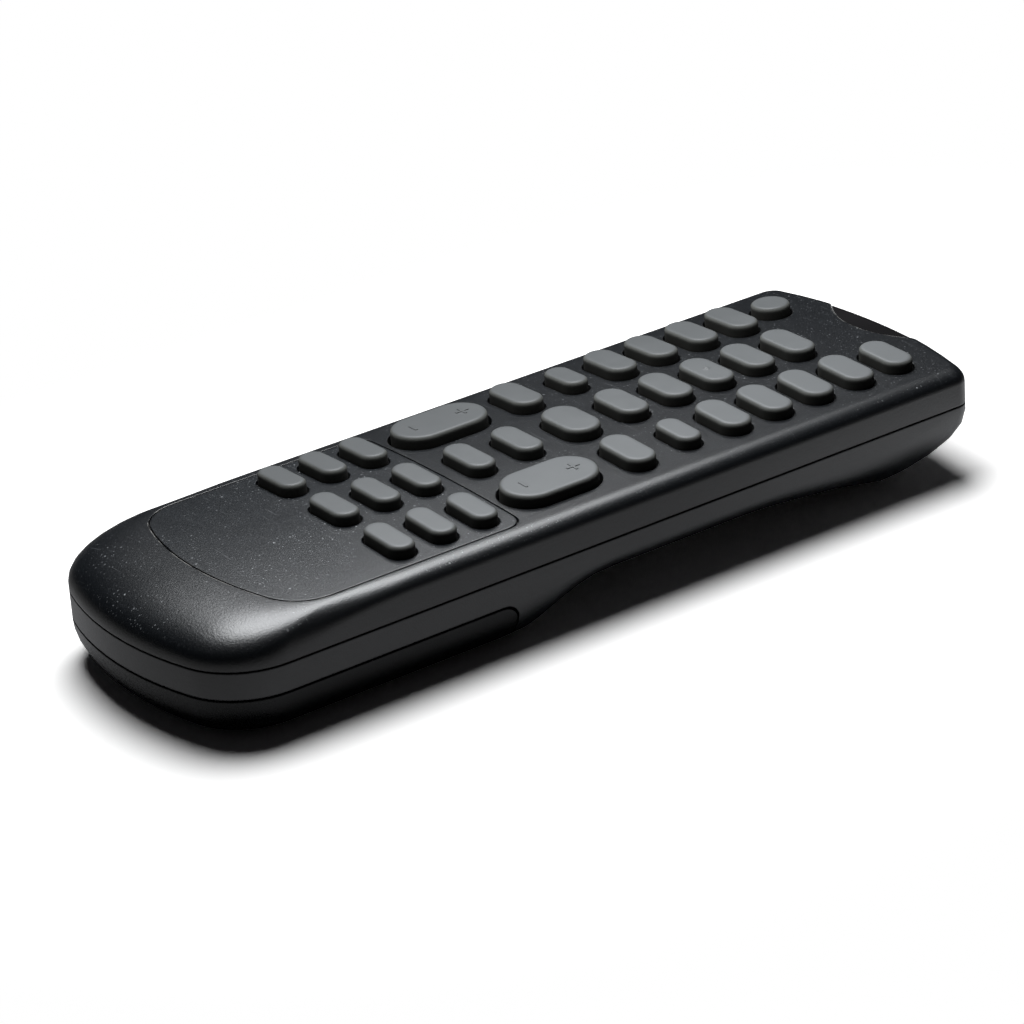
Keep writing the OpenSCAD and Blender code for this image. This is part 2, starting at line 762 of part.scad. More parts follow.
can_r = 2.5;
can_l = 9;
can_gap = 0.6;
module capacitor() {
  color(cell_blue) translate([14, chip_y - 17, board_z - can_r - can_gap]) rotate([-90, 0, 0]) union() {
    cylinder(r = can_r, h = can_l);
    translate([-1.4, -can_r - can_gap + 0.1, -0.6]) cube([0.5, can_r + can_gap - 0.1, 0.5]);
    translate([0.9, -can_r - can_gap + 0.1, -0.6]) cube([0.5, can_r + can_gap - 0.1, 0.5]);
    translate([-1.4, -0.4, -0.6]) cube([0.5, 0.5, 0.7]);
    translate([0.9, -0.4, -0.6]) cube([0.5, 0.5, 0.7]);
  }
}

module casing_screws() {
  color(steel) for (c = [-1, 1]) translate([c * boss_x, boss_y, roof_z - screw_head_t]) difference() {
    union() {
      cylinder(r = screw_head_r, h = screw_head_t);
      cylinder(r = screw_r, h = screw_head_t + roof_t + 2.6);
    }
    translate([-0.3, -1.5, -1]) cube([0.6, 3, 1.7]);
    translate([-1.5, -0.3, -1]) cube([3, 0.6, 1.7]);
  }
}

// Cells lie head to tail, each against one spring
module battery_cells() {
  color(cell_blue) {
    translate([-cell_x, cell_tail_y, cell_z]) rotate([-90, 0, 0]) cylinder(d = cell_d, h = cell_l);
    translate([cell_x, bay_tail_y + bay_front_y - cell_tail_y, cell_z]) rotate([90, 0, 0])
      cylinder(d = cell_d, h = cell_l);
  }
}

module cell_caps() {
  color(steel) {
    translate([-cell_x, cell_tail_y, cell_z]) rotate([90, 0, 0]) cylinder(r = 1.9, h = cap_t);
    translate([cell_x, bay_tail_y + bay_front_y - cell_tail_y, cell_z]) rotate([-90, 0, 0])
      cylinder(r = 1.9, h = cap_t);
  }
}

module contact_plates() {
  color(steel) {
    translate([-cell_x, bay_tail_y + plate_gap, cell_z]) rotate([-90, 0, 0]) union() {
      translate([-4, -4, 0]) cube([8, 8, plate_t]);
      cylinder(r1 = 2, r2 = 1.2, h = plate_t + nub);
    }
    translate([cell_x, bay_front_y - plate_gap, cell_z]) rotate([90, 0, 0]) union() {
      translate([-4, -4, 0]) cube([8, 8, plate_t]);
      cylinder(r1 = 2, r2 = 1.2, h = plate_t + nub);
    }
  }
}

module spring_plates() {
  color(steel) {
    translate([-cell_x - 4, bay_front_y - plate_gap - plate_t, cell_z - 4]) cube([8, plate_t, 8]);
    translate([cell_x - 4, bay_tail_y + plate_gap, cell_z - 4]) cube([8, plate_t, 8]);
  }
}

// Coil of round wire: one tube along a widening curl with straight ends
wire_r = 0.3;
coil_turns = 2.5;
coil_steps = 8;
coil_r0 = 1.7;
coil_r1 = 3.3;
coil_n = coil_turns * coil_steps;
coil_z0 = wire_r + 0.05;
coil_z1 = spring_l - wire_r - 0.05;
function coil_point(k) = let (t = k / coil_n) let (r = mix(coil_r1, coil_r0, t))
  [r * cos(360 * k / coil_steps), r * sin(360 * k / coil_steps), mix(coil_z0, coil_z1, t)];
function unit(v) = v / norm(v);
coil_mid = [for (k = [0:coil_n]) coil_point(k)];
coil_start = coil_mid[0] - 2 * wire_r * unit(coil_mid[1] - coil_mid[0]);
coil_end = coil_mid[coil_n] + 2 * wire_r * unit(coil_mid[coil_n] - coil_mid[coil_n - 1]);
coil_path = concat([coil_start], coil_mid, [coil_end]);
coil_last = len(coil_path) - 1;
function coil_ring(k) =
  let (a = coil_path[max(0, k - 1)])
  let (b = coil_path[min(coil_last, k + 1)])
  let (w = unit(b - a))
  let (u = unit(cross([0, 0, 1], w)))
  let (v = cross(w, u))
  [for (i = [0:5]) coil_path[k] + wire_r * (u * cos(60 * i) + v * sin(60 * i))];
coil_gap = min([for (k = [0:coil_n]) for (q = [k + 5:1:coil_n])
  norm(coil_mid[k] - coil_mid[q]) - 2 * wire_r]);
echo("least gap between curls", coil_gap);
module coil() {
  rings = [for (k = [0:coil_last]) each coil_ring(k)];
  polyhedron(rings, concat(
    [[for (i = [0:5]) i]],
    [for (k = [0:coil_last - 1]) for (i = [0:5])
      each [[k * 6 + i, (k + 1) * 6 + i, (k + 1) * 6 + (i + 1) % 6],
            [k * 6 + i, (k + 1) * 6 + (i + 1) % 6, k * 6 + (i + 1) % 6]]],
    [[for (i = [5:-1:0]) coil_last * 6 + i]]));
}

module cell_springs() {
  color(steel) {
    translate([-cell_x, bay_front_y - plate_gap - plate_t, cell_z]) rotate([90, 0, 0]) coil();
    translate([cell_x, bay_tail_y + plate_gap + plate_t, cell_z]) rotate([-90, 0, 0]) coil();
  }
}

upper_casing();
lower_casing();
battery_cover();
panel_plate();
infrared_lens();
circuit_board();
keypad_mat();
contact_pads();
casing_screws();
panel_key_1();
panel_key_2();
panel_key_3();
panel_key_4();
panel_key_5();
panel_key_6();
panel_key_7();
panel_key_8();
panel_key_9();
centre_key_near();
centre_key_far();
rocker_left();
rocker_right();
side_key_left();
select_key();
side_key_right();
small_key_left();
zero_key();
small_key_right();
digit_key_1();
digit_key_2();
digit_key_3();
digit_key_4();
digit_key_5();
digit_key_6();
digit_key_7();
digit_key_8();
digit_key_9();
mode_key_left();
mode_key_mid();
mode_key_right();
power_key();
source_key();
infrared_led();
led_legs();
control_chip();
chip_legs();
resonator();
capacitor();
battery_cells();
cell_caps();
cell_springs();
contact_plates();
spring_plates();
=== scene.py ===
# %% [markdown]
# # A universal remote control
# The remote is a long black housing of two moulded shells, with thirty-one grey rubber push keys,
# two long rocker keys, a dark window at the front and a battery cover that slides off the tail.
# Its solids are already in place: this lesson gives each of them a smooth skin and a finish,
# and makes the few pieces that the solids only hint at.

# %% Load the fixed frame
import json
import math

import bmesh
import bpy
from mathutils import Matrix, Vector


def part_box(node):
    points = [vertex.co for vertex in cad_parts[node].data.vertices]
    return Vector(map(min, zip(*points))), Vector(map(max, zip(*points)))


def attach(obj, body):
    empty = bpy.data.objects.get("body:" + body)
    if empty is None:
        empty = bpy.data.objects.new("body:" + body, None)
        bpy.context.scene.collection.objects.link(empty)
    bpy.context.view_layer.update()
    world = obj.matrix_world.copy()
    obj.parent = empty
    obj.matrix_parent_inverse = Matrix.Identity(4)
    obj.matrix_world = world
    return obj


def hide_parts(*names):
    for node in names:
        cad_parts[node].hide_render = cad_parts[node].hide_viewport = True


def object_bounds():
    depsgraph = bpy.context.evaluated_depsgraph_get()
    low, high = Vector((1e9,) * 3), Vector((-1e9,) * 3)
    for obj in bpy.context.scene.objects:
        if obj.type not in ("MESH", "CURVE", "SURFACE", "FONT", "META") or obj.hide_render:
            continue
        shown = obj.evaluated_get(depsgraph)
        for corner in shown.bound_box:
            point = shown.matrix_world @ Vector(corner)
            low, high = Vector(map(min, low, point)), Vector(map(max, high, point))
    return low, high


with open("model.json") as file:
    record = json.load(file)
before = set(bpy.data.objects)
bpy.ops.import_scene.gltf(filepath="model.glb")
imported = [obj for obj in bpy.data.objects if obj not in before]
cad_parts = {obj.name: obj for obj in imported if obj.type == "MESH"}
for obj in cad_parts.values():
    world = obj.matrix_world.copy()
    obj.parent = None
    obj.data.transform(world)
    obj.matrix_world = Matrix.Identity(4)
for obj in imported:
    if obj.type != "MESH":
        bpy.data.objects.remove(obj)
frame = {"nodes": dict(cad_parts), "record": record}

cad_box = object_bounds()
scene = bpy.context.scene
record = frame["record"]

# %% [markdown]
# ## The camera
# The remote lies on a table and is seen from its right tail corner, from about 25 degrees above.
# A camera can be aimed with a tracking constraint, but here its three axes are known from the key grid,
# so they are written straight into its matrix. A long lens keeps the far end from shrinking too much.

# %% Camera
across = Vector((0.589925, 0.80481, -0.065343))
downward = Vector((0.308277, -0.299282, -0.902992))
ahead = Vector((-0.746293, 0.512554, -0.424658))
stands_at = Vector((0.53624, -0.37044, 0.31454))
camera_data = bpy.data.cameras.new("table_camera")
camera_data.lens = 146.49
camera_data.sensor_width = 36.0
camera = bpy.data.objects.new("table_camera", camera_data)
turn = Matrix((across, -downward, -ahead)).transposed()
camera.matrix_world = Matrix.Translation(stands_at) @ turn.to_4x4()
scene.collection.objects.link(camera)
scene.camera = camera
print("camera lens:", round(camera_data.lens, 1), "mm")

# %% [markdown]
# ## Shader sums in plain Python
# A finish is a tree of shader nodes. Wiring dozens of Math nodes by hand hides the idea behind them,
# so a small class wraps an output socket: adding or multiplying two of them adds the Math node.
# A second class holds one material and makes any other node from its type, its settings and its inputs.


# %% A socket that can be used in sums
class Wire:
    """An output socket of one finish, ready to be used in a sum."""

    def __init__(self, finish, socket):
        self.finish = finish
        self.socket = socket

    def sum(self, operation, first, second):
        return self.finish.node("ShaderNodeMath", {"operation": operation}, {0: first, 1: second})

    def __add__(self, other):
        return self.sum("ADD", self, other)

    def __radd__(self, other):
        return self.sum("ADD", other, self)

    def __sub__(self, other):
        return self.sum("SUBTRACT", self, other)

    def __rsub__(self, other):
        return self.sum("SUBTRACT", other, self)

    def __mul__(self, other):
        return self.sum("MULTIPLY", self, other)

    def __rmul__(self, other):
        return self.sum("MULTIPLY", other, self)

    def __lt__(self, other):
        return self.sum("LESS_THAN", self, other)


print("socket helper ready")

# %% A finish and the nodes it is made of
class Finish:
    """One material: its node tree, its shader and the ways to add to them."""

    def __init__(self, name, constants=None):
        self.material = bpy.data.materials.new(name)
        self.material.use_nodes = True
        self.tree = self.material.node_tree
        self.shader = self.tree.nodes["Principled BSDF"]
        self.set(constants or {})
        self.place = self.node("ShaderNodeTexCoord", out="Object")

    def node(self, kind, settings=None, inputs=None, out=0):
        made = self.tree.nodes.new(kind)
        for key, value in (settings or {}).items():
            setattr(made, key, value)
        for key, value in (inputs or {}).items():
            self.feed(made.inputs[key], value)
        return Wire(self, made.outputs[out])

    def feed(self, socket, value):
        if isinstance(value, Wire):
            self.tree.links.new(value.socket, socket)
        else:
            socket.default_value = value

    def set(self, inputs):
        for key, value in inputs.items():
            self.feed(self.shader.inputs[key], value)

    def noise(self, scale, detail=2.0, rough=0.5, place=None):
        return self.node("ShaderNodeTexNoise", {}, {"Vector": place or self.place, "Scale": scale,
                                                    "Detail": detail, "Roughness": rough})

    def ramp(self, value, low, high, start=0.0, end=1.0):
        inputs = {"Value": value, "From Min": low, "From Max": high, "To Min": start, "To Max": end}
        return self.node("ShaderNodeMapRange", {"interpolation_type": "SMOOTHSTEP"}, inputs)

    def blend(self, factor, first, second):
        return self.node("ShaderNodeMix", {"data_type": "RGBA"}, {0: factor, 6: first, 7: second}, out=2)

    def vector(self, operation, first, second=(0, 0, 0), out=0):
        return self.node("ShaderNodeVectorMath", {"operation": operation}, {0: first, 1: second}, out)

    def axis(self, vector, index):
        return self.node("ShaderNodeSeparateXYZ", {}, {0: vector}, index)

    def bump(self, height, depth, strength=1.0, normal=None):
        inputs = {"Height": height, "Distance": depth, "Strength": strength}
        if normal is not None:
            inputs["Normal"] = normal
        return self.node("ShaderNodeBump", {}, inputs)


print("finish helpers ready")

# %% [markdown]
# ## The table
# The remote lies on a sheet that is so white in the picture that only the shadow shows on it.
# More light would do that, but it would also wash out the remote. So the sheet gets a much paler colour,
# and farther off a plain white glow, only for rays that look straight at it. Mirror rays see about an eighth
# of that white, because black walls that mirror all of it turn grey.

# %% Table
TABLE_HALF = 10.0
TABLE_GAP = 0.0002
table_mesh = bpy.data.meshes.new("table")
bm = bmesh.new()
bmesh.ops.create_grid(bm, x_segments=1, y_segments=1, size=TABLE_HALF)
bmesh.ops.translate(bm, vec=(0, 0, cad_box[0][2] - TABLE_GAP), verts=bm.verts)
bm.to_mesh(table_mesh)
bm.free()
table = bpy.data.objects.new("table", table_mesh)
scene.collection.objects.link(table)
print("table at", round(table_mesh.vertices[0].co.z * 1000, 2), "mm")

# %% [markdown]
# For all other rays the sheet is an ordinary pale one, paler toward the front, that ends a few finger widths
# away from the remote. It lights the lower walls and leaves the upper ones dark. Both the sheet's end
# and the start of the glow follow the distance to a rectangle on the table under the remote.

# %% Table finish
MIRRORED_WHITE = 0.12
UNDER_MIDDLE, UNDER_HALF = (0.0, 0.02, 0.0), (0.028, 0.082, 0.0)
SHEET_TAIL, SHEET_FRONT = (0.29, 0.29, 0.30, 1), (0.80, 0.80, 0.81, 1)
SHEET_END = (0.06, 0.06, 0.06, 1)
LOOKED_AT = (1.63, 1.6, 1.57, 1)
WHITE = (1, 1, 1, 1)
SHEET_PALES, SHEET_ENDS, GLOW_STARTS = (0.02, 0.10), (0.008, 0.06), (0.035, 0.10)

table_white = Finish("table_white")
direct = table_white.node("ShaderNodeLightPath", out="Is Camera Ray")
through = table_white.node("ShaderNodeLightPath", out="Is Transmission Ray")
mirrored = table_white.node("ShaderNodeLightPath", out="Is Glossy Ray")
seen = 1 - (1 - direct) * (1 - through) * (1 - MIRRORED_WHITE * mirrored)

beside = table_white.vector("ABSOLUTE", table_white.vector("SUBTRACT", table_white.place, UNDER_MIDDLE))
beside = table_white.vector("MAXIMUM", table_white.vector("SUBTRACT", beside, UNDER_HALF))
beside = table_white.vector("LENGTH", beside, out="Value")
frontward = table_white.axis(table_white.place, 1)
sheet = table_white.blend(table_white.ramp(frontward, *SHEET_PALES), SHEET_TAIL, SHEET_FRONT)
sheet = table_white.blend(table_white.ramp(beside, *SHEET_ENDS), sheet, SHEET_END)

plain = table_white.node("ShaderNodeBsdfDiffuse", {}, {"Color": sheet})
bright = table_white.node("ShaderNodeBsdfDiffuse", {}, {"Color": LOOKED_AT})
glow = table_white.node("ShaderNodeEmission", {}, {"Color": WHITE, "Strength": 1.0})
far_off = table_white.ramp(beside, *GLOW_STARTS)
looked_at = table_white.node("ShaderNodeMixShader", {}, {0: far_off, 1: bright, 2: glow})
table_top = table_white.node("ShaderNodeMixShader", {}, {0: seen, 1: plain, 2: looked_at})
table_white.feed(table_white.tree.nodes["Material Output"].inputs["Surface"], table_top)
table_mesh.materials.append(table_white.material)
print("table finish:", table_white.material.name)

# %% [markdown]
# ## The light
# The bright patch on the tail slope and the streak along the right edge mirror one soft lamp,
# and the shadow falls toward the viewer and the tail. Both say where it hangs: above the remote,
# a little behind it and toward its front. A larger lamp would blur the shadow more than it is.

# %% Softbox and room
lamp_data = bpy.data.lights.new("softbox", "AREA")
lamp_data.shape = "ELLIPSE"
lamp_data.size = 0.22
lamp_data.size_y = 0.30
lamp_data.energy = 1.15
lamp_data.color = (0.98, 1.0, 1.02)
lamp = bpy.data.objects.new("softbox", lamp_data)
hung = Vector((-0.076, 0.032, 0.285))
facing = hung.to_track_quat("Z", "Y").to_matrix().to_4x4()
askew = Matrix.Rotation(math.radians(-44), 4, "Z")
lamp.matrix_world = Matrix.Translation(hung) @ facing @ askew
scene.collection.objects.link(lamp)

room = bpy.data.worlds.new("room")
room.use_nodes = True
dim = room.node_tree.nodes["Background"].inputs
dim["Color"].default_value = (0.006, 0.006, 0.0065, 1)
dim["Strength"].default_value = 1.0
scene.world = room
scene.view_settings.view_transform = "Standard"
print("softbox", round(lamp_data.size, 2), "m,", round(lamp_data.energy, 2), "W")

# %% [markdown]
# ## Satin black housing
# The shells are moulded in black plastic, and handling has left its marks on them. Each mark is a function
# that returns a mask from nought to about one. A texture image could hold them all, but noise
# in object space has no seams and keeps its true size.
#
# Dust only settles on what faces up: its specks are Voronoi cells seen from above, and each cell's own random
# colour decides whether it holds a speck, and how large and pale that is. Three sizes of cell make it uneven.


# %% Dust and scratches
DUST_LAYERS = (450.0, 0.62), (900.0, 0.50), (1500.0, 0.50)  # cells to the metre, share of them left empty
SPECK_SIZE = 0.30


def dust_specks(black):
    """Specks of dust, seen from above."""
    specks = 0.0
    for scale, empty in DUST_LAYERS:
        cells = {"voronoi_dimensions": "2D"}, {"Vector": black.place, "Scale": scale}
        middle = black.node("ShaderNodeTexVoronoi", *cells, out="Distance")
        chance = black.node("ShaderNodeTexVoronoi", *cells, out="Color")
        size = black.node("ShaderNodeSeparateColor", {}, {0: chance}, out="Red") - empty
        shade = black.node("ShaderNodeSeparateColor", {}, {0: chance}, out="Green")
        specks = specks + black.ramp(size * SPECK_SIZE - middle, -0.01, 0.05) * (0.3 + 0.7 * shade)
    return specks


def hairlines(black):
    """Hairline scratches: noise drawn out one way."""
    one_way = {0: black.place, "Rotation": (0, 0, 0.7), "Scale": (1.0, 26.0, 1.0)}
    drawn_out = black.node("ShaderNodeMapping", {}, one_way)
    return black.ramp(black.noise(130.0, 2.0, 0.5, drawn_out), 0.68, 0.74)


def dusty_film(black):
    """A thin film of the finest dust, wiped here and there."""
    smudges = black.ramp(black.noise(240.0, 4.0, 0.6), 0.40, 0.68, 0.5, 1.2)
    return black.ramp(black.noise(3200.0, 2.0, 0.7), 0.46, 0.72) * smudges


print("layers of dust:", len(DUST_LAYERS))

# %% [markdown]
# A Bevel node rounds the look of the moulded edges. Where it bends the surface most there is an edge.
# On the top face such edges are worn pale and painted as highlights, most of all at the tail end of the panel
# and round the window.

# %% Wear
PALE_EDGE_FROM, PALE_EDGE_TO, PALE_EDGE_LEFT = 0.006, 0.022, 0.12
PALE_EDGE_MARGIN = 0.002
plate_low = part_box("panel_plate")[0]
window_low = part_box("infrared_lens")[0]


def worn_and_highlit_edges(black, rounded, normal):
    """Edges of the top face, worn pale and painted as highlights."""
    along, height = black.axis(black.place, 1), black.axis(black.place, 2)
    worn_and_highlit_zone = black.ramp(along, plate_low.y + PALE_EDGE_FROM, plate_low.y + PALE_EDGE_TO, 1.0, PALE_EDGE_LEFT)
    worn_and_highlit_zone = worn_and_highlit_zone + black.ramp(along, window_low.y - PALE_EDGE_MARGIN, window_low.y)
    worn_and_highlit_zone = worn_and_highlit_zone * black.ramp(height, plate_low.z - PALE_EDGE_MARGIN, plate_low.z)
    bent = 1 - black.vector("DOT_PRODUCT", rounded, normal, out="Value")
    return black.ramp(bent, 0.004, 0.06) * worn_and_highlit_zone * black.ramp(black.noise(300.0, 3.0, 0.7), 0.40, 0.60)


def gripped_side(black, normal):
    """The right long edge, where a hand holds it."""
    return black.ramp(black.axis(normal, 0), 0.08, 0.3) * black.ramp(black.axis(normal, 1), -0.25, -0.08)


print("wear starts at", round(plate_low.y * 1000, 1), "mm")

# %% [markdown]
# The plastic itself has a fine even grain, like very small orange peel. The two shells, the panel plate
# and the cover share its recipe, with their own tint and gloss, and their own share of scuffs, wear and
# painted highlights.
# The cover's darker tint and lower gloss are painted shade: it is the same black, darkened for its shadowed
# place.

# %% Housing finish
EDGE_RADIUS = 0.00035
GRAIN_DEPTH = 0.00006
HAIR_SHARE, FILM_SHARE = 0.4, 0.07
WORN_AND_HIGHLIT, SCRATCHED = (0.40, 0.39, 0.37, 1), (0.16, 0.17, 0.18, 1)
FILMED, DUSTED = (0.44, 0.50, 0.56, 1), (0.50, 0.52, 0.54, 1)


def moulded_black(name, tint, gloss, rough, scuffs, wear_and_highlight):
    """Black satin plastic with grain, dust, scratches, and edges that are worn and painted as highlights."""
    black = Finish(name, {"IOR": 1.56, "Specular IOR Level": gloss})
    grain = black.noise(2600.0, 3.0, 0.6)
    patches = black.noise(60.0, 3.0, 0.55)
    rounded = black.node("ShaderNodeBevel", {"samples": 6}, {"Radius": EDGE_RADIUS})
    normal = black.node("ShaderNodeNewGeometry", out="Normal")
    upward = black.ramp(black.axis(normal, 2), 0.45, 0.8)
    worn_and_highlit = worn_and_highlit_edges(black, rounded, normal) * upward
    hairs = hairlines(black) * upward * scuffs
    film = dusty_film(black) * upward * scuffs
    dust = dust_specks(black) * upward * black.ramp(patches, 0.38, 0.62, 0.12, 1.0) * scuffs
    # Pale edges: part wear, part painted highlight.
    base = black.blend(worn_and_highlit * wear_and_highlight, tint, WORN_AND_HIGHLIT)
    base = black.blend(hairs * HAIR_SHARE, base, SCRATCHED)
    base = black.blend(film * FILM_SHARE, base, FILMED)
    base = black.blend(dust, base, DUSTED)
    rough = rough + 0.04 * gripped_side(black, normal) + 0.06 * (patches - 0.5)
    rough = rough + 0.10 * (grain - 0.5) + 0.10 * hairs + 0.15 * dust
    black.set({"Base Color": base, "Roughness": rough,
               "Normal": black.bump(grain, GRAIN_DEPTH, 0.65, rounded)})
    return black


housing = moulded_black("satin_black_housing", (0.0024, 0.0040, 0.0062, 1),
                        gloss=1.0, rough=0.337, scuffs=0.55, wear_and_highlight=0.9)
faceplate = moulded_black("satin_black_faceplate", (0.0024, 0.0046, 0.0074, 1),
                          gloss=1.0, rough=0.338, scuffs=0.85, wear_and_highlight=0.15)
# Painted shade: the cover is the same black, with a darker tint and less gloss for its shadowed place under
# the tail.
shaded_cover_black = moulded_black("satin_black_cover_shaded", (0.0022, 0.0027, 0.0032, 1),
                            gloss=0.36, rough=0.28, scuffs=0.1, wear_and_highlight=0.0)
print("housing finishes:", housing.material.name, faceplate.material.name, shaded_cover_black.material.name)

# %% [markdown]
# ## Grey key rubber
# The keys are silicone rubber, moulded on the mat below them. The tops are matte and a little mottled,
# and paler toward the right edge and the front.
# The rounded edges are painted darker and a little olive, as shade, and the side walls are painted almost
# black, as the shade between the keys. A Bevel node makes the roundings look softer
# than the solids have them, and how far its surface faces up tells top, edge and wall apart.

# %% Key finish
SOFT_RADIUS = 0.0009
PALER_RIGHT, PALER_FRONT = 20.0, 3.0
RUBBER_DULL, RUBBER_PALE = (0.128, 0.135, 0.138, 1), (0.192, 0.201, 0.206, 1)
# The edge and wall colours are painted shade, darker where the rubber faces away from up.
RUBBER_EDGE_SHADE, RUBBER_WALL_SHADE = (0.104, 0.106, 0.094, 1), (0.036, 0.036, 0.031, 1)
rubber = Finish("grey_key_rubber", {"IOR": 1.5, "Specular IOR Level": 0.55})
pores = rubber.noise(3200.0, 2.0, 0.5)
mottle = rubber.noise(160.0, 3.0, 0.6)
soft = rubber.node("ShaderNodeBevel", {"samples": 8}, {"Radius": SOFT_RADIUS})
upward = rubber.axis(soft, 2)
# Masks for the painted shade: the rounded edges and, darker still, the side walls.
edge = rubber.ramp(upward, 0.72, 0.99, 1.0, 0.0)
wall_shade = rubber.ramp(upward, 0.0, 0.62, 1.0, 0.0)
aside, along = rubber.axis(rubber.place, 0), rubber.axis(rubber.place, 1)
pale = rubber.ramp(0.5 + PALER_RIGHT * aside + PALER_FRONT * along + 0.3 * (mottle - 0.5), 0.0, 1.0)
rubber_grey = rubber.blend(pale, RUBBER_DULL, RUBBER_PALE)
rubber_grey = rubber.blend(edge * 0.75, rubber_grey, RUBBER_EDGE_SHADE)
rubber_grey = rubber.blend(wall_shade, rubber_grey, RUBBER_WALL_SHADE)
rubber.set({"Base Color": rubber_grey, "Roughness": 0.46 + 0.12 * (mottle - 0.5) + 0.40 * edge,
            "Normal": rubber.bump(pores, 0.000012, 0.5, soft)})
print("key finish:", rubber.material.name)

# %% [markdown]
# ## Dark window
# The window lets infrared light out and looks almost black. It is polished, apart from a slight haze,
# and a painted highlight on its sharp rim draws a thin line round it.

# %% Window finish
window = Finish("smoked_window", {"IOR": 1.5, "Specular IOR Level": 0.7})
haze = window.noise(90.0, 2.0)
eased = window.node("ShaderNodeBevel", {"samples": 6}, {"Radius": EDGE_RADIUS})
flat = window.node("ShaderNodeNewGeometry", out="Normal")
bent = 1 - window.vector("DOT_PRODUCT", eased, flat, out="Value")
# Painted highlight: a pale colour on the rim, where the Bevel node bends the surface.
painted_rim_highlight = window.ramp(bent, 0.002, 0.04) * (0.4 + 0.6 * window.noise(500.0, 2.0))
smoke = window.blend(haze, (0.0080, 0.0076, 0.0084, 1), (0.0125, 0.0115, 0.0125, 1))
window.set({"Base Color": window.blend(painted_rim_highlight, smoke, (0.45, 0.45, 0.44, 1)),
            "Roughness": 0.24 + 0.08 * haze, "Normal": eased})
print("window finish:", window.material.name)

# %% [markdown]
# ## Finishes inside the housing
# When the cover is off, the battery bay shows plated steel, the cells and, through the gaps, the board.
# Each gets the mark of how it is made: brushed plating, woven laminate, printed sleeves, etched pads.

# %% Metal and board finishes
plating = Finish("bright_plating", {"Metallic": 1.0})
brushed = plating.noise(900.0, 3.0, 0.6)
plating.set({"Base Color": plating.blend(brushed, (0.56, 0.56, 0.57, 1), (0.68, 0.68, 0.68, 1)),
             "Roughness": 0.26 + 0.2 * brushed, "Normal": plating.bump(brushed, 0.00001, 0.4)})

laminate = Finish("green_board", {"IOR": 1.5})
threads = {"Vector": laminate.place, "Scale": 520.0}
weave = (laminate.node("ShaderNodeTexWave", {"bands_direction": "X"}, threads)
         * laminate.node("ShaderNodeTexWave", {"bands_direction": "Y"}, threads))
runs = laminate.node("ShaderNodeTexVoronoi", {"feature": "DISTANCE_TO_EDGE"},
                     {"Vector": laminate.place, "Scale": 150.0}, out="Distance")
tracks = laminate.ramp(runs, 0.04, 0.07, 1.0, 0.0)
board_green = laminate.blend(weave, (0.030, 0.105, 0.050, 1), (0.040, 0.130, 0.062, 1))
laminate.set({"Base Color": laminate.blend(tracks, board_green, (0.060, 0.200, 0.090, 1)),
              "Roughness": 0.36 + 0.1 * weave, "Normal": laminate.bump(tracks + 0.2 * weave, 0.00003, 0.6)})

pads = Finish("etched_pads", {"Metallic": 1.0})
fingers = pads.ramp(pads.node("ShaderNodeTexWave", {}, {"Vector": pads.place, "Scale": 700.0}), 0.4, 0.6)
pads.set({"Base Color": pads.blend(fingers, (0.55, 0.32, 0.15, 1), (0.80, 0.58, 0.28, 1)),
          "Roughness": 0.42 - 0.12 * fingers})
print("finishes:", plating.material.name, laminate.material.name, pads.material.name)

# %% [markdown]
# The small parts are moulded or dipped in plastic. They differ only in colour, gloss and cloudiness,
# so one function makes them all.


# %% Plastic finishes of the small parts
def small_plastic(name, dark, light, rough, scale):
    """A moulded or dipped plastic with a cloudy colour and a slight grain."""
    plastic = Finish(name, {"IOR": 1.5})
    cloud = plastic.noise(scale, 3.0)
    plastic.set({"Base Color": plastic.blend(cloud, dark, light), "Roughness": rough + 0.12 * (cloud - 0.5),
                 "Normal": plastic.bump(cloud, 0.000015, 0.5)})
    return plastic


chip_epoxy = small_plastic("chip_epoxy", (0.012, 0.012, 0.013, 1), (0.022, 0.022, 0.023, 1), 0.55, 2200.0)
led_epoxy = small_plastic("led_epoxy", (0.070, 0.050, 0.105, 1), (0.110, 0.085, 0.150, 1), 0.12, 260.0)
dipped_ochre = small_plastic("dipped_ochre", (0.42, 0.22, 0.045, 1), (0.58, 0.32, 0.080, 1), 0.38, 600.0)
shrunk_sleeve = small_plastic("shrunk_sleeve", (0.018, 0.034, 0.080, 1), (0.030, 0.052, 0.110, 1),
                              0.30, 420.0)
small_plastics = chip_epoxy, led_epoxy, dipped_ochre, shrunk_sleeve
print("small plastics:", *(plastic.material.name for plastic in small_plastics))

# %% [markdown]
# ## Skins
# A solid from CAD arrives as loose triangles, which would render with every facet showing.
# A welded copy can share its normals: faces that meet gently are smoothed, real edges stay sharp,
# and weighting the normals by face size keeps the flat areas flat. The copy then stands for the solid.
# Where the finger arch runs into the side roundings, facets meet at wider angles, so the lower shell
# gets a wider limit than the rest.

# %% Weld and smooth a solid
WELD_WITHIN = 0.000002
body_of = {node: body for body, members in record["behaviour"]["bodies"].items() for node in members}
slot_of = {part["node"]: part["material_slot"] for part in record["subparts"]}


def place_piece(piece, finish, node):
    """Put a new piece in the scene, in the stead of its node, on the node's body."""
    piece.data.materials.clear()
    piece.data.materials.append(finish.material)
    scene.collection.objects.link(piece)
    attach(piece, body_of[node])
    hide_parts(node)
    return piece


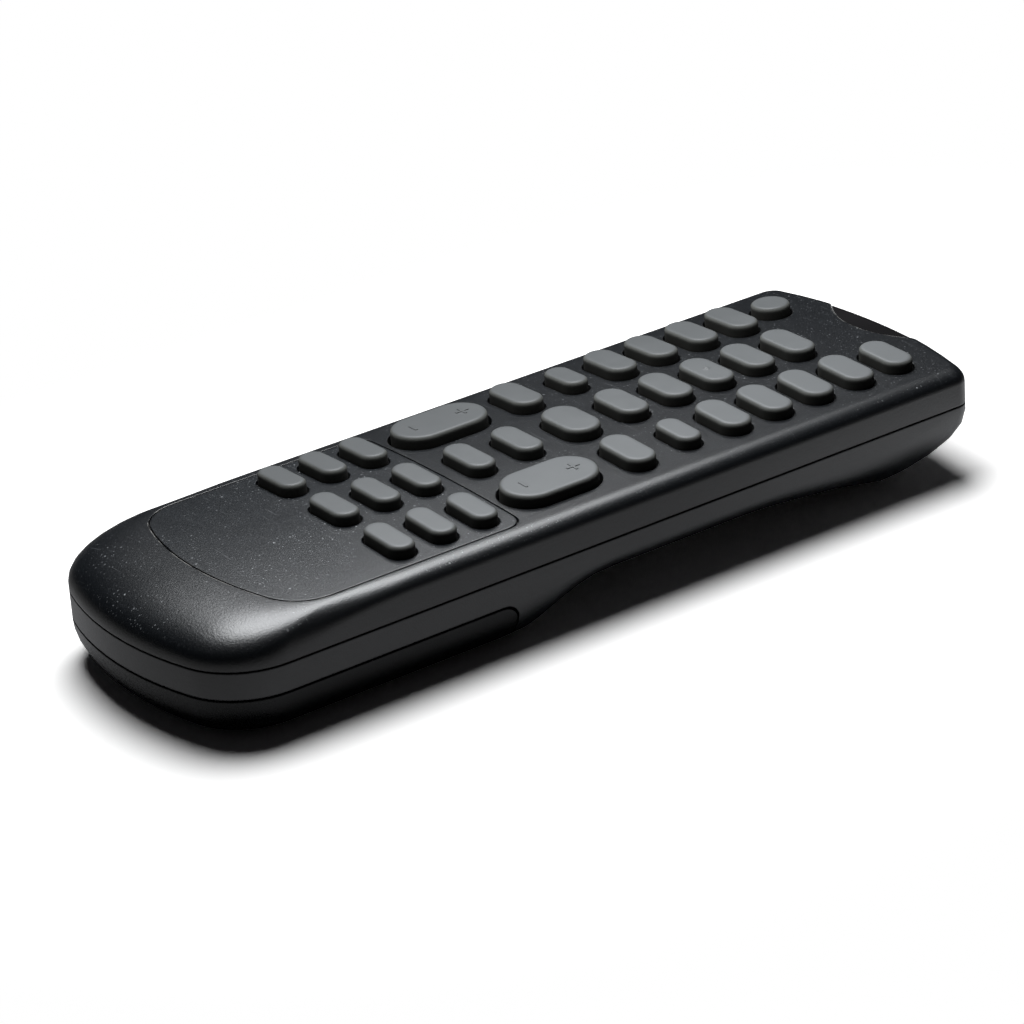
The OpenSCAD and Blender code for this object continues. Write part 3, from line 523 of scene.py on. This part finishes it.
def skin(node, finish, crease=32.0):
    """A welded, smooth copy of a solid."""
    mesh = frame["nodes"][node].data.copy()
    mesh.name = node + "_skin"
    bm = bmesh.new()
    bm.from_mesh(mesh)
    bmesh.ops.remove_doubles(bm, verts=bm.verts, dist=WELD_WITHIN)
    for face in bm.faces:
        face.smooth = True
    for edge in bm.edges:
        edge.smooth = edge.calc_face_angle(0.0) < math.radians(crease)
    bm.to_mesh(mesh)
    bm.free()
    piece = place_piece(bpy.data.objects.new(node + "_skin", mesh), finish, node)
    even = piece.modifiers.new("even_normals", "WEIGHTED_NORMAL")
    even.keep_sharp = True
    return piece


print("solids to dress:", len(slot_of))

# %% Skins of the housing
shells = [skin("upper_casing", housing),
          skin("lower_casing", housing, crease=60.0),
          skin("battery_cover", shaded_cover_black),
          skin("panel_plate", faceplate),
          skin("infrared_lens", window)]
print("housing skins:", len(shells))

# %% Skins of the keys
keys = [node for node in frame["nodes"] if slot_of[node] == "key_rubber"]
for node in keys:
    skin(node, rubber)
print("rubber skins:", len(keys))

# %% [markdown]
# ## Room for the rockers to tilt
# Each rocker is held under the casing by a tab on either side. At full tilt the corners of the tabs
# just reach the casing from below. On real rubber they are soft and rounded, so here the corners are drawn
# down by a few hundredths of a millimetre, which leaves the casing clear at both ends of the tilt.

# %% Ease the rocker tabs
TAB_REACH, TAB_DROP = 0.0057, 0.00005
CORNER_FROM, CORNER_TO = 0.0028, 0.0032
for side in ("left", "right"):
    low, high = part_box("rocker_" + side)
    middle = (low + high) / 2
    tabs = [vert for vert in bpy.data.meshes["rocker_" + side + "_skin"].vertices
            if abs(vert.co.x - middle.x) > TAB_REACH
            and CORNER_FROM < abs(vert.co.y - middle.y) < CORNER_TO]
    for vert in tabs:
        vert.co.z -= TAB_DROP
    print("rocker", side, "tab corners eased:", len(tabs))

# %% [markdown]
# ## Inner parts
# The board and what is soldered to it, the screws and the battery contacts need no new shape.
# They get skins like the housing, each with its own finish.

# %% Skins of the inner parts
inner = {"circuit_board": laminate, "contact_pads": pads, "casing_screws": plating,
         "infrared_led": led_epoxy, "led_legs": plating, "control_chip": chip_epoxy,
         "chip_legs": plating, "resonator": dipped_ochre, "capacitor": shrunk_sleeve,
         "cell_caps": plating, "contact_plates": plating, "spring_plates": plating}
for node, finish in inner.items():
    skin(node, finish)
print("inner skins:", len(inner))

# %% [markdown]
# ## Cells
# A cell is a steel can in a printed sleeve, with its rim rolled over. A plain cylinder misses the roll,
# so its end edges are beveled, and an inset at each end leaves the disc inside the rim a little sunk.

# %% Cell sleeve
cell_low, cell_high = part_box("battery_cells")
cell_r = (cell_high.z - cell_low.z) / 2
CELL_LENGTH = 0.0437
BAND_END, LINE_START, LINE_END = (0.0125, 0.0127), (0.0125, 0.0126), (0.0134, 0.0135)
sleeve = Finish("cell_sleeve", {"IOR": 1.5})
along = sleeve.axis(sleeve.place, 1)
left = sleeve.axis(sleeve.place, 0) < 0
from_cap = left * (along - cell_low.y) + (1 - left) * (cell_high.y - along)
band = sleeve.ramp(from_cap, *BAND_END, 1.0, 0.0)
line = sleeve.ramp(from_cap, *LINE_START) * sleeve.ramp(from_cap, *LINE_END, 1.0, 0.0)
smudge = sleeve.noise(240.0, 3.0)
wrap = sleeve.blend(smudge, (0.020, 0.030, 0.048, 1), (0.030, 0.044, 0.068, 1))
wrap = sleeve.blend(band, wrap, (0.46, 0.24, 0.10, 1))
sleeve.set({"Base Color": sleeve.blend(line, wrap, (0.6, 0.6, 0.6, 1)), "Roughness": 0.24 + 0.1 * smudge})
print("cell", round(cell_r * 2000, 1), "x", CELL_LENGTH * 1000, "mm")

# %% Cell cans
CAN_SIDES, CAN_CREASE = 48, 40.0
RIM_WIDTH, RIM_SINK, RIM_ROLL = 0.0009, 0.00025, 0.0005
LEVEL_WITHIN = 1e-6
cell_z = (cell_low.z + cell_high.z) / 2
left_middle = cell_low.x + cell_r, cell_low.y + CELL_LENGTH / 2, cell_z
right_middle = cell_high.x - cell_r, cell_high.y - CELL_LENGTH / 2, cell_z
bm = bmesh.new()
for middle in (left_middle, right_middle):
    lie = Matrix.Translation(middle) @ Matrix.Rotation(math.pi / 2, 4, "X")
    can = bmesh.ops.create_cone(bm, cap_ends=True, segments=CAN_SIDES, radius1=cell_r, radius2=cell_r,
                                depth=CELL_LENGTH, matrix=lie)["verts"]
    ends = [f for f in bm.faces if len(f.verts) == CAN_SIDES and f.verts[0] in can]
    bmesh.ops.inset_region(bm, faces=ends, thickness=RIM_WIDTH, depth=-RIM_SINK)
    rims = [e for e in bm.edges if e.verts[0] in can and e.verts[1] in can
            and abs(e.verts[0].co.y - e.verts[1].co.y) < LEVEL_WITHIN]
    bmesh.ops.bevel(bm, geom=rims, offset=RIM_ROLL, offset_type="OFFSET", affect="EDGES", segments=3,
                    profile=0.5, material=-1)
for face in bm.faces:
    face.smooth = True
for edge in bm.edges:
    edge.smooth = edge.calc_face_angle(0.0) < math.radians(CAN_CREASE)
cans_mesh = bpy.data.meshes.new("cell_cans")
bm.to_mesh(cans_mesh)
bm.free()
place_piece(bpy.data.objects.new("cell_cans", cans_mesh), sleeve, "battery_cells")
print("cell cans:", len(cans_mesh.polygons), "faces")

# %% [markdown]
# ## Coil springs
# Each cell is pressed against its contact by a conical coil of round wire. A ring of the wire's section
# is spun a step at a time about the coil's axis, rising and drawing in a little with each step.

# %% Springs
WIRE_R, WIRE_SIDES, WIRE_START = 0.0003, 12, 0.00035
TURNS, STEPS, RISE = 2.5, 24, 0.00355
WIDE, NARROW = 0.0033, 0.0017
CAP_R = 0.0019
JOIN_WITHIN = 0.000001
spring_low, spring_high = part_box("cell_springs")
caps_low, caps_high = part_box("cell_caps")
total = int(TURNS * STEPS)
draw = (NARROW - WIDE) / total
section = Matrix.Translation((WIDE, 0, WIRE_START)) @ Matrix.Rotation(math.pi / 2, 4, "X")
bm = bmesh.new()
for x, y, lean in ((caps_low.x + CAP_R, spring_high.y, math.pi / 2),
                   (caps_high.x - CAP_R, spring_low.y, -math.pi / 2)):
    lie = Matrix.Translation((x, y, cell_z)) @ Matrix.Rotation(lean, 4, "X")
    ring = bmesh.ops.create_circle(bm, cap_ends=True, segments=WIRE_SIDES, radius=WIRE_R, matrix=section)
    made = list(ring["verts"])
    front = list({e for v in ring["verts"] for e in v.link_edges})
    for step in range(1, total + 1):
        spun = bmesh.ops.spin(bm, geom=front, cent=(0, 0, 0), axis=(0, 0, 1), dvec=(0, 0, RISE / total),
                              angle=2 * math.pi / STEPS, steps=1)
        last = [g for g in spun["geom_last"] if isinstance(g, bmesh.types.BMVert)]
        angle = 2 * math.pi * step / STEPS
        bmesh.ops.translate(bm, vec=(draw * math.cos(angle), draw * math.sin(angle), 0), verts=last)
        made += last
        front = [g for g in spun["geom_last"] if isinstance(g, bmesh.types.BMEdge)]
    bmesh.ops.edgeloop_fill(bm, edges=front)
    bmesh.ops.transform(bm, matrix=lie, verts=list(set(made)))
bmesh.ops.remove_doubles(bm, verts=bm.verts, dist=JOIN_WITHIN)
bmesh.ops.recalc_face_normals(bm, faces=bm.faces)
for face in bm.faces:
    face.smooth = len(face.verts) == 4
springs_mesh = bpy.data.meshes.new("coil_springs")
bm.to_mesh(springs_mesh)
bm.free()
place_piece(bpy.data.objects.new("coil_springs", springs_mesh), plating, "cell_springs")
print("spring faces:", len(springs_mesh.polygons))
